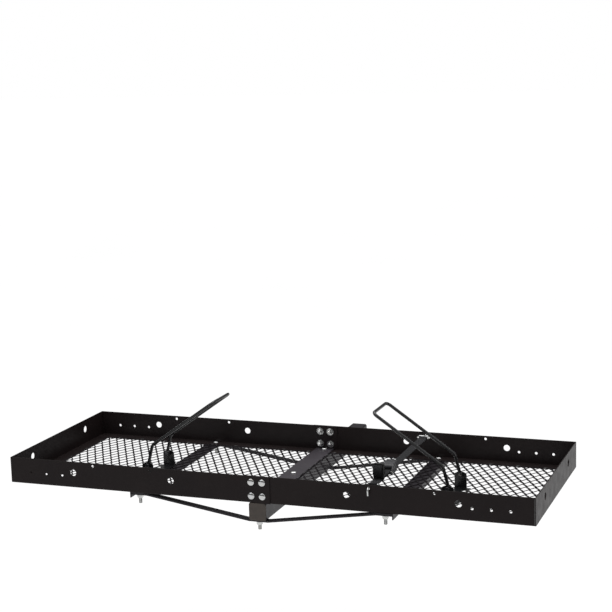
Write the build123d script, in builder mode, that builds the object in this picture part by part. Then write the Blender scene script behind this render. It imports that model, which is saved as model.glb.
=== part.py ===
from build123d import *
import math
import os

# Hitch-mounted steel tray with two wheel hoops and a cam-buckle tie-down.
# Frame: origin at the centre of the hitch pin hole, +X along the tray, +Y towards the vehicle,
# +Z up. Sizes are millimetres. Most places are given from the middle of the tray's length and
# width, at the underside of the rails, and the three plane functions below put them in the frame.

# tray
TRAY_L = 1524.0
TRAY_W = 560.0
RAIL_H = 75.0
SHEET = 2.5
FLANGE = 40.0
LAP = 38.0
LAP_LIFT = 0.3
MID_GAP = 1.0
BEND_R = 3.0

# round openings in the rails, given from the middle of the tray
SMALL_R = 4.0
BIG_R = 9.5
BIG_HOLE_X = (256.0, 560.0)
BIG_HOLE_Z = 43.0
ROW_HOLE_X = (596.0, 646.5, 697.0)
ROW_HOLE_Z = 33.0
HOOK_HOLE_X = (318.0, 497.0)
HOOK_HOLE_Z = 66.0
END_HOLE_Y = 160.0
END_HOLE_Z = 45.0
END_HOLE_R = 10.0

# expanded-metal floor
MESH_T = 3.0
DIAMOND_X = 26.6
DIAMOND_Y = 48.0
DIAMOND_OPEN = 0.86
MESH_EDGE = 3.0

# receiver shank and what carries the tray on it
SHANK = 50.0
SHANK_WALL = 5.0
SHANK_R = 6.0
SHANK_INNER_R = 2.0
SHANK_REACH = 320.0
PIN_SETBACK = 64.0
PIN_R = 8.25
CAP_T = 3.0
CAP_INSET = 0.5
EDGE_R = 1.0
ANGLE_W = 45.0
ANGLE_H = 16.0
ANGLE_T = 3.0
ANGLE_X = 384.0
ANGLE_L = 556.0
BRACE_W = 20.0
BRACE_T = 5.0
BRACE_TIP_X = 380.0
BRACE_BEND_X = 335.0
BRACE_FLAT = 3.0
STRIP_W = 55.0
STRIP_T = 3.0
STRIP_L = 548.0

# fasteners
BOLT_R = 4.75
BOLT_CLEAR = 0.4
HEAD_R = 10.0
HEAD_H = 4.5
NUT_FLATS = 15.0
NUT_H = 8.0
WASHER_R = 11.0
WASHER_T = 1.6
WASHER_CLEAR = 0.3
TIP_CHAMFER = 0.8
SPLICE_X = 16.0
SPLICE_Z = (19.0, 57.5)
FRAME_BOLT_X = 359.0
FRAME_BOLT_Y = 264.0
SPLICE_BOLT_L = 20.0
CORNER_BOLT_L = 36.0
SHANK_BOLT_L = 84.0

# wheel hoops
HOOP_Y = -88.0
HOOP_HALF = 62.0
HOOP_R = 4.5
LEFT_PIVOT_X = -386.0
RIGHT_PIVOT_X = 499.0
PIVOT_Z = 42.0
BEND_OUT = 14.0
BEND_UP = 60.0
TOP_OUT = 206.0
TOP_UP = 194.0
LEG_BEND_R = 18.0
CORNER_R = 14.0
EYE_R = 8.0
EYE_L = 10.0
PIVOT_R = 4.0
PIVOT_HEAD_R = 8.0
PIVOT_HEAD_H = 4.0
PIVOT_FLATS = 13.0
PIVOT_NUT_H = 7.0
RUN_FIT = 0.05
EAR_T = 3.0
EAR_W = 34.0
EAR_H = 52.0
EAR_GAP = 0.5
BASE_T = 3.0
CLAMP_T = 2.5
CLAMP_W = 18.0
CLAMP_L = 110.0
FOOT_MARGIN = 2.0
BASE_BOLT_OUT = 17.0
BASE_BOLT_Y = 38.0
BASE_BOLT_R = 3.0
BASE_BOLT_L = 18.0
BASE_HEAD_R = 7.0
BASE_HEAD_H = 3.0
BASE_FLATS = 10.0
BASE_NUT_H = 6.0

# tie-down strap
STRAP_X = HOOK_HOLE_X[0]
WEB_W = 25.0
WEB_T = 1.8
WIRE_R = 2.5
RING_NEAR = 14.0
RING_FAR = 34.0
RING_HALF = 19.0
RING_R = 4.0
HOOK_R = 6.0
TIP_OUT = 10.0
TIP_DROP = 18.0
STEM_OUT = 13.0
WIRE_GAP = 1.0
BUCKLE_Y = -100.0
BUCKLE_L = 46.0
BAR_INSET = 3.0
LOOP_BITE = 0.8
CHEEK_X = 15.0
CHEEK_T = 2.0
CHEEK_H = 24.0
CAM_PIN_R = 2.0
CAM_R = 8.0
CAM_OFF = 2.5
CAM_GAP = 0.3
BASE_DROP = 5.5
PIN_PROUD = 1.0
LEVER_L = 34.0
LEVER_SIDE_GAP = 0.6
ROLL_Y = -186.0
ROLL_R = 20.0
ROLL_EYE_R = 3.0
ROLL_GAP = 0.3
KEEPER_T = 1.5
KEEPER_W = 10.0
KEEPER_GAP = 0.2
KEEPER_R = 3.0

DECK_Z = SHANK / 2
PIN_TO_TRAY = SHANK_REACH - PIN_SETBACK
TRAY_Y = -(PIN_TO_TRAY + TRAY_W / 2)
HALF_L = TRAY_L / 2
HALF_W = TRAY_W / 2
CENTRE = (0, TRAY_Y, DECK_Z)
TRAY_AXIS = Axis(CENTRE, (0, 0, 1))

os.makedirs("parts", exist_ok=True)


def deck_plane(z):
    """Level plane, z above the underside of the rails; its x and y run with the frame's."""
    return Plane(origin=(0, TRAY_Y, DECK_Z + z), x_dir=(1, 0, 0), z_dir=(0, 0, 1))


def side_plane(y):
    """Upright plane along the tray, y from its middle; its normal points away from the vehicle."""
    return Plane(origin=(0, TRAY_Y + y, DECK_Z), x_dir=(1, 0, 0), z_dir=(0, -1, 0))


def end_plane(x):
    """Upright plane across the tray at x; its normal points along +X."""
    return Plane(origin=(x, TRAY_Y, DECK_Z), x_dir=(0, 1, 0), z_dir=(1, 0, 0))


def finish(part, name):
    part.label = name
    export_step(part, "parts/" + name + ".step")


def turned(part):
    """The same piece on the other half of the tray, half a turn about the tray's middle."""
    return part.rotate(TRAY_AXIS, 180)


# ---------------------------------------------------------------- tray halves


def rail(outer_y, inward, tab_z):
    """Side rail of the left half: a folded angle whose web runs on past the middle as a lap.

    outer_y is the web's outer face, inward points to the tray's middle, and the lap's lower
    edge is at tab_z, which is above the other half's flange where the lap lies inside it.
    """
    inner_y = outer_y + inward * SHEET
    flange_y = outer_y + inward * FLANGE
    with BuildPart() as piece:
        with BuildSketch(end_plane(-HALF_L)):
            with BuildLine():
                Polyline(
                    (outer_y, 0),
                    (flange_y, 0),
                    (flange_y, SHEET),
                    (inner_y, SHEET),
                    (inner_y, RAIL_H),
                    (outer_y, RAIL_H),
                    close=True,
                )
            make_face()
            corner = vertices().sort_by_distance((outer_y, 0, 0))[0]
            fillet(corner, BEND_R)
        extrude(amount=HALF_L - MID_GAP)
        with BuildSketch(end_plane(-2 * MID_GAP)):
            with Locations(((outer_y + inner_y) / 2, (tab_z + RAIL_H) / 2)):
                Rectangle(SHEET, RAIL_H - tab_z)
        extrude(amount=LAP + 2 * MID_GAP)
        with BuildSketch(side_plane(outer_y)):
            with Locations(*[(-x, BIG_HOLE_Z) for x in BIG_HOLE_X]):
                Circle(BIG_R)
            with Locations(*[(-x, ROW_HOLE_Z) for x in ROW_HOLE_X]):
                Circle(SMALL_R)
            with Locations(*[(-x, HOOK_HOLE_Z) for x in HOOK_HOLE_X]):
                Circle(SMALL_R)
            with Locations(*[(s * SPLICE_X, z) for s in (-1, 1) for z in SPLICE_Z]):
                Circle(BOLT_R + BOLT_CLEAR)
        extrude(amount=2 * SHEET, both=True, mode=Mode.SUBTRACT)
        # the middle bolt stands where the two flanges meet
        bolt_y = math.copysign(FRAME_BOLT_Y, outer_y)
        with BuildSketch(deck_plane(0)):
            with Locations((-FRAME_BOLT_X, bolt_y), (0, bolt_y)):
                Circle(BOLT_R + BOLT_CLEAR)
        extrude(amount=2 * SHEET, both=True, mode=Mode.SUBTRACT)
    return piece.part


near_rail_left = rail(-HALF_W, 1, 0)
far_rail_left = rail(HALF_W - SHEET, -1, SHEET + LAP_LIFT)
near_rail_right = turned(far_rail_left)
far_rail_right = turned(near_rail_left)
finish(near_rail_left, "near_rail_left")
finish(far_rail_left, "far_rail_left")
finish(near_rail_right, "near_rail_right")
finish(far_rail_right, "far_rail_right")

# the end rail stands between the two side rails, its flange between theirs
WEB_Y = (-HALF_W + SHEET, HALF_W - 2 * SHEET)
FLOOR_Y = (-HALF_W + FLANGE, HALF_W - SHEET - FLANGE)
with BuildPart() as end_rail_left:
    with BuildSketch(side_plane(WEB_Y[0])):
        with Locations((-HALF_L + SHEET / 2, RAIL_H / 2)):
            Rectangle(SHEET, RAIL_H)
    extrude(amount=-(WEB_Y[1] - WEB_Y[0]))
    with BuildSketch(side_plane(FLOOR_Y[0])):
        with Locations((-HALF_L + FLANGE / 2, SHEET / 2)):
            Rectangle(FLANGE, SHEET)
    extrude(amount=-(FLOOR_Y[1] - FLOOR_Y[0]))
    # the web is notched over the side rails' flanges
    with BuildSketch(end_plane(-HALF_L - SHEET / 2)):
        for y in (-HALF_W + FLANGE / 2, HALF_W - SHEET - FLANGE / 2):
            with Locations((y, SHEET / 2)):
                Rectangle(FLANGE, SHEET)
    extrude(amount=2 * SHEET, mode=Mode.SUBTRACT)
    with BuildSketch(end_plane(-HALF_L)):
        with Locations((-END_HOLE_Y, END_HOLE_Z), (END_HOLE_Y, END_HOLE_Z)):
            Circle(END_HOLE_R)
    extrude(amount=2 * SHEET, both=True, mode=Mode.SUBTRACT)
end_rail_right = turned(end_rail_left.part)
finish(end_rail_left.part, "end_rail_left")
finish(end_rail_right, "end_rail_right")

FLOOR_X = (-HALF_L + FLANGE, -MID_GAP / 2)
floor_l = FLOOR_X[1] - FLOOR_X[0]
floor_w = FLOOR_Y[1] - FLOOR_Y[0]
floor_mid = ((FLOOR_X[0] + FLOOR_X[1]) / 2, (FLOOR_Y[0] + FLOOR_Y[1]) / 2)
columns = int(floor_l / DIAMOND_X) + 2
rows = int(floor_w / DIAMOND_Y) + 2
floor_bolt_places = [
    (sign * (x - sign * BASE_BOLT_OUT), sign * (HOOP_Y + side * BASE_BOLT_Y))
    for sign, x in ((1, LEFT_PIVOT_X), (-1, RIGHT_PIVOT_X))
    for side in (-1, 1)
]
open_x = DIAMOND_OPEN * DIAMOND_X / 2
open_y = DIAMOND_OPEN * DIAMOND_Y / 2

with BuildSketch(deck_plane(0)) as diamonds:
    with Locations(floor_mid):
        with GridLocations(DIAMOND_X, DIAMOND_Y, columns, rows):
            Polygon((open_x, 0), (0, open_y), (-open_x, 0), (0, -open_y))
        with GridLocations(DIAMOND_X, DIAMOND_Y, columns + 1, rows + 1):
            Polygon((open_x, 0), (0, open_y), (-open_x, 0), (0, -open_y))
        Rectangle(floor_l - 2 * MESH_EDGE, floor_w - 2 * MESH_EDGE, mode=Mode.INTERSECT)
with BuildPart() as mesh_floor_left:
    with BuildSketch(deck_plane(0)):
        with Locations(floor_mid):
            Rectangle(floor_l, floor_w)
        with Locations((0, 0)):
            Circle(BOLT_R + BOLT_CLEAR, mode=Mode.SUBTRACT)
        # both halves are pierced for either hoop's foot, so they stay the same piece
        with Locations(*floor_bolt_places):
            Circle(BASE_BOLT_R + BOLT_CLEAR, mode=Mode.SUBTRACT)
    extrude(amount=MESH_T)
    extrude(diamonds.sketch, amount=MESH_T, mode=Mode.SUBTRACT)
mesh_floor_right = turned(mesh_floor_left.part)
finish(mesh_floor_left.part, "mesh_floor_left")
finish(mesh_floor_right, "mesh_floor_right")

# ---------------------------------------------------------------- shank and supports

SHANK_NEAR = -HALF_W + CAP_T
SHANK_END = HALF_W + SHANK_REACH
with BuildPart() as shank_tube:
    with BuildSketch(side_plane(SHANK_NEAR)):
        with Locations((0, -SHANK / 2)):
            RectangleRounded(SHANK, SHANK, SHANK_R)
            RectangleRounded(
                SHANK - 2 * SHANK_WALL,
                SHANK - 2 * SHANK_WALL,
                SHANK_INNER_R,
                mode=Mode.SUBTRACT,
            )
    extrude(amount=-(SHANK_END - SHANK_NEAR))
    with BuildSketch(deck_plane(0)):
        with Locations((0, -FRAME_BOLT_Y), (0, 0), (0, FRAME_BOLT_Y)):
            Circle(BOLT_R + BOLT_CLEAR)
    extrude(amount=-SHANK, mode=Mode.SUBTRACT)
    with BuildSketch(Plane.YZ.offset(-SHANK)):
        Circle(PIN_R)
    extrude(amount=2 * SHANK, mode=Mode.SUBTRACT)
finish(shank_tube.part, "shank_tube")

with BuildPart() as shank_end_cap:
    with BuildSketch(side_plane(SHANK_NEAR)):
        with Locations((0, -SHANK / 2)):
            RectangleRounded(SHANK - 2 * CAP_INSET, SHANK - 2 * CAP_INSET, SHANK_R - CAP_INSET)
    extrude(amount=CAP_T)
    fillet(faces().sort_by(Axis.Y)[0].edges(), EDGE_R)
finish(shank_end_cap.part, "shank_end_cap")


def cross_member(side):
    """Angle iron under the floor; its upright leg hangs at the outer edge."""
    with BuildPart() as piece:
        with BuildSketch(side_plane(-ANGLE_L / 2)):
            with Locations((side * (ANGLE_X - ANGLE_W / 2), -ANGLE_T / 2)):
                Rectangle(ANGLE_W, ANGLE_T)
            with Locations((side * (ANGLE_X - ANGLE_T / 2), -ANGLE_H / 2)):
                Rectangle(ANGLE_T, ANGLE_H)
        extrude(amount=-ANGLE_L)
        with BuildSketch(deck_plane(0)):
            for y in (-FRAME_BOLT_Y, FRAME_BOLT_Y):
                with Locations((side * FRAME_BOLT_X, y)):
                    Circle(BOLT_R + BOLT_CLEAR)
        extrude(amount=-ANGLE_T, mode=Mode.SUBTRACT)
    return piece.part


finish(cross_member(-1), "cross_member_left")
finish(cross_member(1), "cross_member_right")


def brace(y):
    """Flat bar bent to a shallow V: under one cross-member, under the shank, under the other."""
    flat = SHANK / 2 + BRACE_FLAT
    top = ((BRACE_TIP_X, -ANGLE_T), (BRACE_BEND_X, -ANGLE_T), (flat, -SHANK))
    upper = [(-x, z) for x, z in top] + [(x, z) for x, z in reversed(top)]
    lower = [(x, z - BRACE_T) for x, z in reversed(upper)]
    with BuildPart() as piece:
        with BuildSketch(side_plane(y - BRACE_W / 2)):
            Polygon(*upper, *lower, align=None)
        extrude(amount=-BRACE_W)
        with BuildSketch(deck_plane(0)):
            with Locations((-FRAME_BOLT_X, y), (0, y), (FRAME_BOLT_X, y)):
                Circle(BOLT_R + BOLT_CLEAR)
        extrude(amount=-(SHANK + 2 * BRACE_T), mode=Mode.SUBTRACT)
    return piece.part


finish(brace(-FRAME_BOLT_Y), "brace_near")
finish(brace(FRAME_BOLT_Y), "brace_far")

with BuildPart() as centre_strip:
    with BuildSketch(deck_plane(MESH_T)):
        Rectangle(STRIP_W, STRIP_L)
    extrude(amount=STRIP_T)
    with BuildSketch(deck_plane(MESH_T)):
        with Locations((0, -FRAME_BOLT_Y), (0, 0), (0, FRAME_BOLT_Y)):
            Circle(BOLT_R + BOLT_CLEAR)
    extrude(amount=STRIP_T, mode=Mode.SUBTRACT)
    fillet(edges().filter_by(Axis.Y).group_by(Axis.Z)[-1], EDGE_R)
finish(centre_strip.part, "centre_strip")

# ---------------------------------------------------------------- fasteners


def carriage_bolt(plane, shank_l, bolt_r=BOLT_R, head_r=HEAD_R, head_h=HEAD_H):
    """Dome-headed bolt: the head stands on the plane and the shank runs back through it."""
    ball_r = (head_r**2 + head_h**2) / (2 * head_h)
    with BuildPart() as bolt:
        with BuildSketch(plane):
            Circle(bolt_r)
        extrude(amount=-shank_l)
        chamfer(edges().sort_by_distance(plane.origin)[-1], TIP_CHAMFER)
        with BuildSketch(Plane(plane.origin, x_dir=plane.x_dir, z_dir=-plane.y_dir)):
            with BuildLine():
                Line((0, 0), (head_r, 0))
                RadiusArc((head_r, 0), (0, head_h), -ball_r)
                Line((0, head_h), (0, 0))
            make_face()
        revolve(axis=Axis(plane.origin, plane.z_dir))
    return bolt.part


def hex_nut(plane, bolt_r=BOLT_R, flats=NUT_FLATS, height=NUT_H):
    """Nut that stands on the plane, open for its own bolt."""
    with BuildPart() as nut:
        with BuildSketch(plane):
            RegularPolygon(flats / 2, 6, major_radius=False)
            Circle(bolt_r, mode=Mode.SUBTRACT)
        extrude(amount=height)
    return nut.part


def washer(plane, bolt_r=BOLT_R, outer_r=WASHER_R):
    with BuildPart() as ring:
        with BuildSketch(plane):
            Circle(outer_r)
            Circle(bolt_r + WASHER_CLEAR, mode=Mode.SUBTRACT)
        extrude(amount=WASHER_T)
    return ring.part


def place(x, y, z, normal):
    return Plane(
        origin=(x, TRAY_Y + y, DECK_Z + z),
        x_dir=(1, 0, 0) if abs(normal[0]) < 0.5 else (0, 1, 0),
        z_dir=normal,
    )


def group(name, pieces):
    with BuildPart() as parts:
        for piece in pieces:
            add(piece)
    finish(parts.part, name)


UP = (0, 0, 1)
DOWN = (0, 0, -1)
splice_places = [(x * SPLICE_X, z) for x in (-1, 1) for z in SPLICE_Z]
splice_inner = HALF_W - 2 * SHEET
for side, name in ((-1, "near"), (1, "far")):
    outward = (0, side, 0)
    inward = (0, -side, 0)
    group(
        "splice_bolts_" + name,
        [carriage_bolt(place(x, side * HALF_W, z, outward), SPLICE_BOLT_L) for x, z in splice_places],
    )
    group(
        "splice_washers_" + name,
        [washer(place(x, side * splice_inner, z, inward)) for x, z in splice_places],
    )
    group(
        "splice_nuts_" + name,
        [hex_nut(place(x, side * (splice_inner - WASHER_T), z, inward)) for x, z in splice_places],
    )

corner_places = [(x * FRAME_BOLT_X, y * FRAME_BOLT_Y) for x in (-1, 1) for y in (-1, 1)]
corner_under = -ANGLE_T - BRACE_T
group("brace_bolts", [carriage_bolt(place(x, y, SHEET, UP), CORNER_BOLT_L) for x, y in corner_places])
group("brace_washers", [washer(place(x, y, corner_under, DOWN)) for x, y in corner_places])
group("brace_nuts", [hex_nut(place(x, y, corner_under - WASHER_T, DOWN)) for x, y in corner_places])

shank_places = [(-FRAME_BOLT_Y, -SHANK - BRACE_T), (0, -SHANK), (FRAME_BOLT_Y, -SHANK - BRACE_T)]
strip_top = MESH_T + STRIP_T
group("shank_bolts", [carriage_bolt(place(0, y, strip_top, UP), SHANK_BOLT_L) for y, z in shank_places])
group("shank_washers", [washer(place(0, y, z, DOWN)) for y, z in shank_places])
group("shank_nuts", [hex_nut(place(0, y, z - WASHER_T, DOWN)) for y, z in shank_places])

# ---------------------------------------------------------------- wheel hoops


def hoop(pivot_x, inboard):
    """Round-bar hoop: two short upright legs, a bend, a long lean inboard and a cross bar."""
    top_z = PIVOT_Z + TOP_UP
    bend = (pivot_x + inboard * BEND_OUT, PIVOT_Z + BEND_UP)
    top = (pivot_x + inboard * TOP_OUT, top_z)
    foot = (pivot_x, PIVOT_Z + EYE_R - 1)
    near = [(x, TRAY_Y + HOOP_Y - HOOP_HALF, DECK_Z + z) for x, z in (foot, bend, top)]
    far = [(x, TRAY_Y + HOOP_Y + HOOP_HALF, DECK_Z + z) for x, z in (top, bend, foot)]
    radii = [LEG_BEND_R, CORNER_R, CORNER_R, LEG_BEND_R]
    with BuildPart() as piece:
        with BuildLine() as route:
            FilletPolyline(*near, *far, radius=radii)
        with BuildSketch(Plane(route.line @ 0, z_dir=route.line % 0)):
            Circle(HOOP_R)
        sweep(path=route.line)
        for y in (HOOP_Y - HOOP_HALF - EYE_L / 2, HOOP_Y + HOOP_HALF - EYE_L / 2):
            with BuildSketch(side_plane(y)):
                with Locations((pivot_x, PIVOT_Z)):
                    Circle(EYE_R)
            extrude(amount=-EYE_L)
        with BuildSketch(side_plane(HOOP_Y - HOOP_HALF - EYE_L)):
            with Locations((pivot_x, PIVOT_Z)):
                Circle(PIVOT_R + RUN_FIT)
        extrude(amount=-2 * (HOOP_HALF + EYE_L), mode=Mode.SUBTRACT)
    return piece.part


def hoop_base(pivot_x, inboard):
    """Flat foot on the floor with an upturned ear outside each leg of the hoop."""
    ear_in = HOOP_HALF + EYE_L / 2 + EAR_GAP
    foot_in = pivot_x + inboard * EAR_W / 2
    foot_out = pivot_x - inboard * (BASE_BOLT_OUT + CLAMP_W / 2 + FOOT_MARGIN)
    with BuildPart() as piece:
        with BuildSketch(deck_plane(MESH_T)):
            with Locations(((foot_in + foot_out) / 2, HOOP_Y)):
                Rectangle(abs(foot_out - foot_in), 2 * (ear_in + EAR_T))
        extrude(amount=BASE_T)
        for y in (HOOP_Y - ear_in - EAR_T, HOOP_Y + ear_in):
            with BuildSketch(side_plane(y)):
                with Locations((pivot_x, (MESH_T + PIVOT_Z) / 2)):
                    Rectangle(EAR_W, PIVOT_Z - MESH_T)
                with Locations((pivot_x, PIVOT_Z)):
                    Ellipse(EAR_W / 2, EAR_H - PIVOT_Z)
                with Locations((pivot_x, PIVOT_Z)):
                    Circle(PIVOT_R + BOLT_CLEAR / 2, mode=Mode.SUBTRACT)
            extrude(amount=-EAR_T)
        with BuildSketch(deck_plane(MESH_T)):
            for y in (-BASE_BOLT_Y, BASE_BOLT_Y):
                with Locations((pivot_x - inboard * BASE_BOLT_OUT, HOOP_Y + y)):
                    Circle(BASE_BOLT_R + BOLT_CLEAR / 2)
        extrude(amount=BASE_T, mode=Mode.SUBTRACT)
    return piece.part


def clamp_plate(pivot_x, inboard):
    """Flat bar under the floor that the foot's two bolts pull against."""
    with BuildPart() as piece:
        with BuildSketch(deck_plane(-CLAMP_T)):
            with Locations((pivot_x - inboard * BASE_BOLT_OUT, HOOP_Y)):
                SlotOverall(CLAMP_L, CLAMP_W, rotation=90)
                with Locations((0, -BASE_BOLT_Y), (0, BASE_BOLT_Y)):
                    Circle(BASE_BOLT_R + BOLT_CLEAR / 2, mode=Mode.SUBTRACT)
        extrude(amount=CLAMP_T)
    return piece.part


for pivot_x, inboard, side in ((LEFT_PIVOT_X, 1, "left"), (RIGHT_PIVOT_X, -1, "right")):
    finish(hoop(pivot_x, inboard), "wheel_hoop_" + side)
    finish(hoop_base(pivot_x, inboard), "hoop_base_" + side)
    finish(clamp_plate(pivot_x, inboard), "hoop_clamp_plate_" + side)
    ear_out = HOOP_HALF + EYE_L / 2 + EAR_GAP + EAR_T
    nut_in = HOOP_HALF - EYE_L / 2 - EAR_GAP
    pivot_l = ear_out - nut_in + NUT_H
    group(
        "hoop_pivot_bolts_" + side,
        [
            carriage_bolt(
                place(pivot_x, HOOP_Y + s * ear_out, PIVOT_Z, (0, s, 0)),
                pivot_l,
                PIVOT_R,
                PIVOT_HEAD_R,
                PIVOT_HEAD_H,
            )
            for s in (-1, 1)
        ],
    )
    group(
        "hoop_pivot_nuts_" + side,
        [
            hex_nut(
                place(pivot_x, HOOP_Y + s * nut_in, PIVOT_Z, (0, -s, 0)),
                PIVOT_R,
                PIVOT_FLATS,
                PIVOT_NUT_H,
            )
            for s in (-1, 1)
        ],
    )
    foot_x = pivot_x - inboard * BASE_BOLT_OUT
    foot_top = MESH_T + BASE_T
    group(
        "hoop_base_bolts_" + side,
        [
            carriage_bolt(
                place(foot_x, HOOP_Y + s * BASE_BOLT_Y, foot_top, UP),
                BASE_BOLT_L,
                BASE_BOLT_R,
                BASE_HEAD_R,
                BASE_HEAD_H,
            )
            for s in (-1, 1)
        ],
    )
    group(
        "hoop_base_nuts_" + side,
        [
            hex_nut(
                place(foot_x, HOOP_Y + s * BASE_BOLT_Y, -CLAMP_T, DOWN),
                BASE_BOLT_R,
                BASE_FLATS,
                BASE_NUT_H,
            )
            for s in (-1, 1)
        ],
    )

# ---------------------------------------------------------------- tie-down strap

STRAP_Z = HOOK_HOLE_Z
NEAR_INNER = -HALF_W + 2 * SHEET
FAR_INNER = HALF_W - SHEET


def strap_hook(inner_y, out):
    """One bent wire: a tip outside the rail, a stem through its hole and a ring for the webbing."""
    near_y = inner_y - out * RING_NEAR
    bar_y = inner_y - out * RING_FAR
    route_points = [
        (STRAP_X, inner_y + out * TIP_OUT, STRAP_Z - TIP_DROP),
        (STRAP_X, inner_y + out * STEM_OUT, STRAP_Z),
        (STRAP_X, near_y, STRAP_Z),
        (STRAP_X + RING_HALF, near_y, STRAP_Z),
        (STRAP_X + RING_HALF, bar_y, STRAP_Z),
        (STRAP_X - RING_HALF, bar_y, STRAP_Z),
        (STRAP_X - RING_HALF, near_y, STRAP_Z),
        (STRAP_X - WIRE_R - WIRE_GAP, near_y, STRAP_Z),
    ]
    with BuildPart() as piece:
        with BuildLine() as route:
            FilletPolyline(
                *[(x, TRAY_Y + y, DECK_Z + z) for x, y, z in route_points],
                radius=[HOOK_R] + [RING_R] * 5,
            )
        with BuildSketch(Plane(route.line @ 0, z_dir=route.line % 0)):
            Circle(WIRE_R)
        sweep(path=route.line)
    return piece.part


def webbing(start_y, end_y, bars):
    """Flat run of webbing with a sewn loop round each wire bar in bars."""
    with BuildPart() as piece:
        with BuildSketch(end_plane(STRAP_X - WEB_W / 2)):
            with Locations(((start_y + end_y) / 2, STRAP_Z)):
                Rectangle(abs(end_y - start_y), WEB_T)
            with Locations(*[(y, STRAP_Z) for y in bars]):
                Circle(WIRE_R + WEB_T)
                Circle(WIRE_R + RUN_FIT, mode=Mode.SUBTRACT)
        extrude(amount=WEB_W)
    return piece.part


near_bar = NEAR_INNER + RING_FAR
far_bar = FAR_INNER - RING_FAR
rear_bar = BUCKLE_Y - BUCKLE_L / 2 + BAR_INSET
loop_end = WIRE_R + WEB_T - LOOP_BITE
finish(strap_hook(NEAR_INNER, -1), "strap_hook_near")
finish(strap_hook(FAR_INNER, 1), "strap_hook_far")
finish(webbing(near_bar + loop_end, rear_bar - loop_end, (near_bar, rear_bar)), "strap_short_end")

# the long end passes over the buckle's rear bar and under the cam, and its tail is rolled up
roll_z = STRAP_Z + WEB_T / 2 + ROLL_R + ROLL_GAP
tail_z = STRAP_Z + WIRE_R + 2 * WEB_T
rise_y = BUCKLE_Y - 6
with BuildPart() as strap_long_end:
    with BuildSketch(end_plane(STRAP_X - WEB_W / 2)):
        with Locations(((rise_y + far_bar - loop_end) / 2, STRAP_Z)):
            Rectangle(far_bar - loop_end - rise_y, WEB_T)
        with Locations((far_bar, STRAP_Z)):
            Circle(WIRE_R + WEB_T)
            Circle(WIRE_R + RUN_FIT, mode=Mode.SUBTRACT)
        Polygon(
            (rise_y + 0.5, STRAP_Z + WEB_T / 2),
            (rise_y + 0.5, STRAP_Z - WEB_T / 2),
            (rear_bar + 2, tail_z - WEB_T / 2),
            (ROLL_Y + ROLL_R - 3, tail_z - WEB_T / 2),
            (ROLL_Y + ROLL_R - 3, tail_z + WEB_T / 2),
            (rear_bar + 2, tail_z + WEB_T / 2),
            align=None,
        )
        with Locations((ROLL_Y, roll_z)):
            Circle(ROLL_R + ROLL_GAP, mode=Mode.SUBTRACT)
    extrude(amount=WEB_W)
finish(strap_long_end.part, "strap_long_end")

with BuildPart() as strap_roll:
    with BuildSketch(end_plane(STRAP_X - WEB_W / 2)):
        with Locations((ROLL_Y, roll_z)):
            Circle(ROLL_R)
            Circle(ROLL_EYE_R, mode=Mode.SUBTRACT)
    extrude(amount=WEB_W)
finish(strap_roll.part, "strap_roll")

# an elastic band holds the roll down on the short end
keeper_low = STRAP_Z - WEB_T / 2 - KEEPER_GAP
keeper_high = roll_z + ROLL_R + KEEPER_GAP
keeper_w = WEB_W + 2 * KEEPER_GAP
with BuildPart() as strap_keeper:
    with BuildSketch(side_plane(ROLL_Y - KEEPER_W / 2)):
        with Locations((STRAP_X, (keeper_low + keeper_high) / 2)):
            RectangleRounded(keeper_w + 2 * KEEPER_T, keeper_high - keeper_low + 2 * KEEPER_T, KEEPER_R)
            Rectangle(keeper_w, keeper_high - keeper_low, mode=Mode.SUBTRACT)
    extrude(amount=-KEEPER_W)
finish(strap_keeper.part, "strap_keeper")

cam_z = STRAP_Z + WEB_T / 2 + CAM_GAP + CAM_R + CAM_OFF
base_z = STRAP_Z - WEB_T / 2 - BASE_DROP
with BuildPart() as cam_buckle_body:
    with BuildSketch(deck_plane(base_z)):
        with Locations((STRAP_X, BUCKLE_Y)):
            Rectangle(2 * (CHEEK_X + CHEEK_T), BUCKLE_L)
    extrude(amount=CHEEK_T)
    for x in (STRAP_X - CHEEK_X - CHEEK_T, STRAP_X + CHEEK_X):
        with BuildSketch(end_plane(x)):
            with BuildLine():
                FilletPolyline(
                    (BUCKLE_Y - BUCKLE_L / 2, base_z),
                    (BUCKLE_Y + BUCKLE_L / 2, base_z),
                    (BUCKLE_Y + BUCKLE_L / 2, base_z + 9),
                    (BUCKLE_Y + 8, base_z + CHEEK_H),
                    (BUCKLE_Y - 8, base_z + CHEEK_H),
                    (BUCKLE_Y - BUCKLE_L / 2, base_z + 13),
                    radius=2,
                    close=True,
                )
            make_face()
            with Locations((BUCKLE_Y, cam_z)):
                Circle(CAM_PIN_R, mode=Mode.SUBTRACT)
            with Locations((rear_bar, STRAP_Z)):
                Circle(WIRE_R, mode=Mode.SUBTRACT)
        extrude(amount=CHEEK_T)
finish(cam_buckle_body.part, "cam_buckle_body")

with BuildPart() as cam_buckle_pins:
    with BuildSketch(end_plane(STRAP_X - CHEEK_X - CHEEK_T - PIN_PROUD)):
        with Locations((BUCKLE_Y, cam_z)):
            Circle(CAM_PIN_R)
        with Locations((rear_bar, STRAP_Z)):
            Circle(WIRE_R)
    extrude(amount=2 * (CHEEK_X + CHEEK_T + PIN_PROUD))
finish(cam_buckle_pins.part, "cam_buckle_pins")

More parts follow.
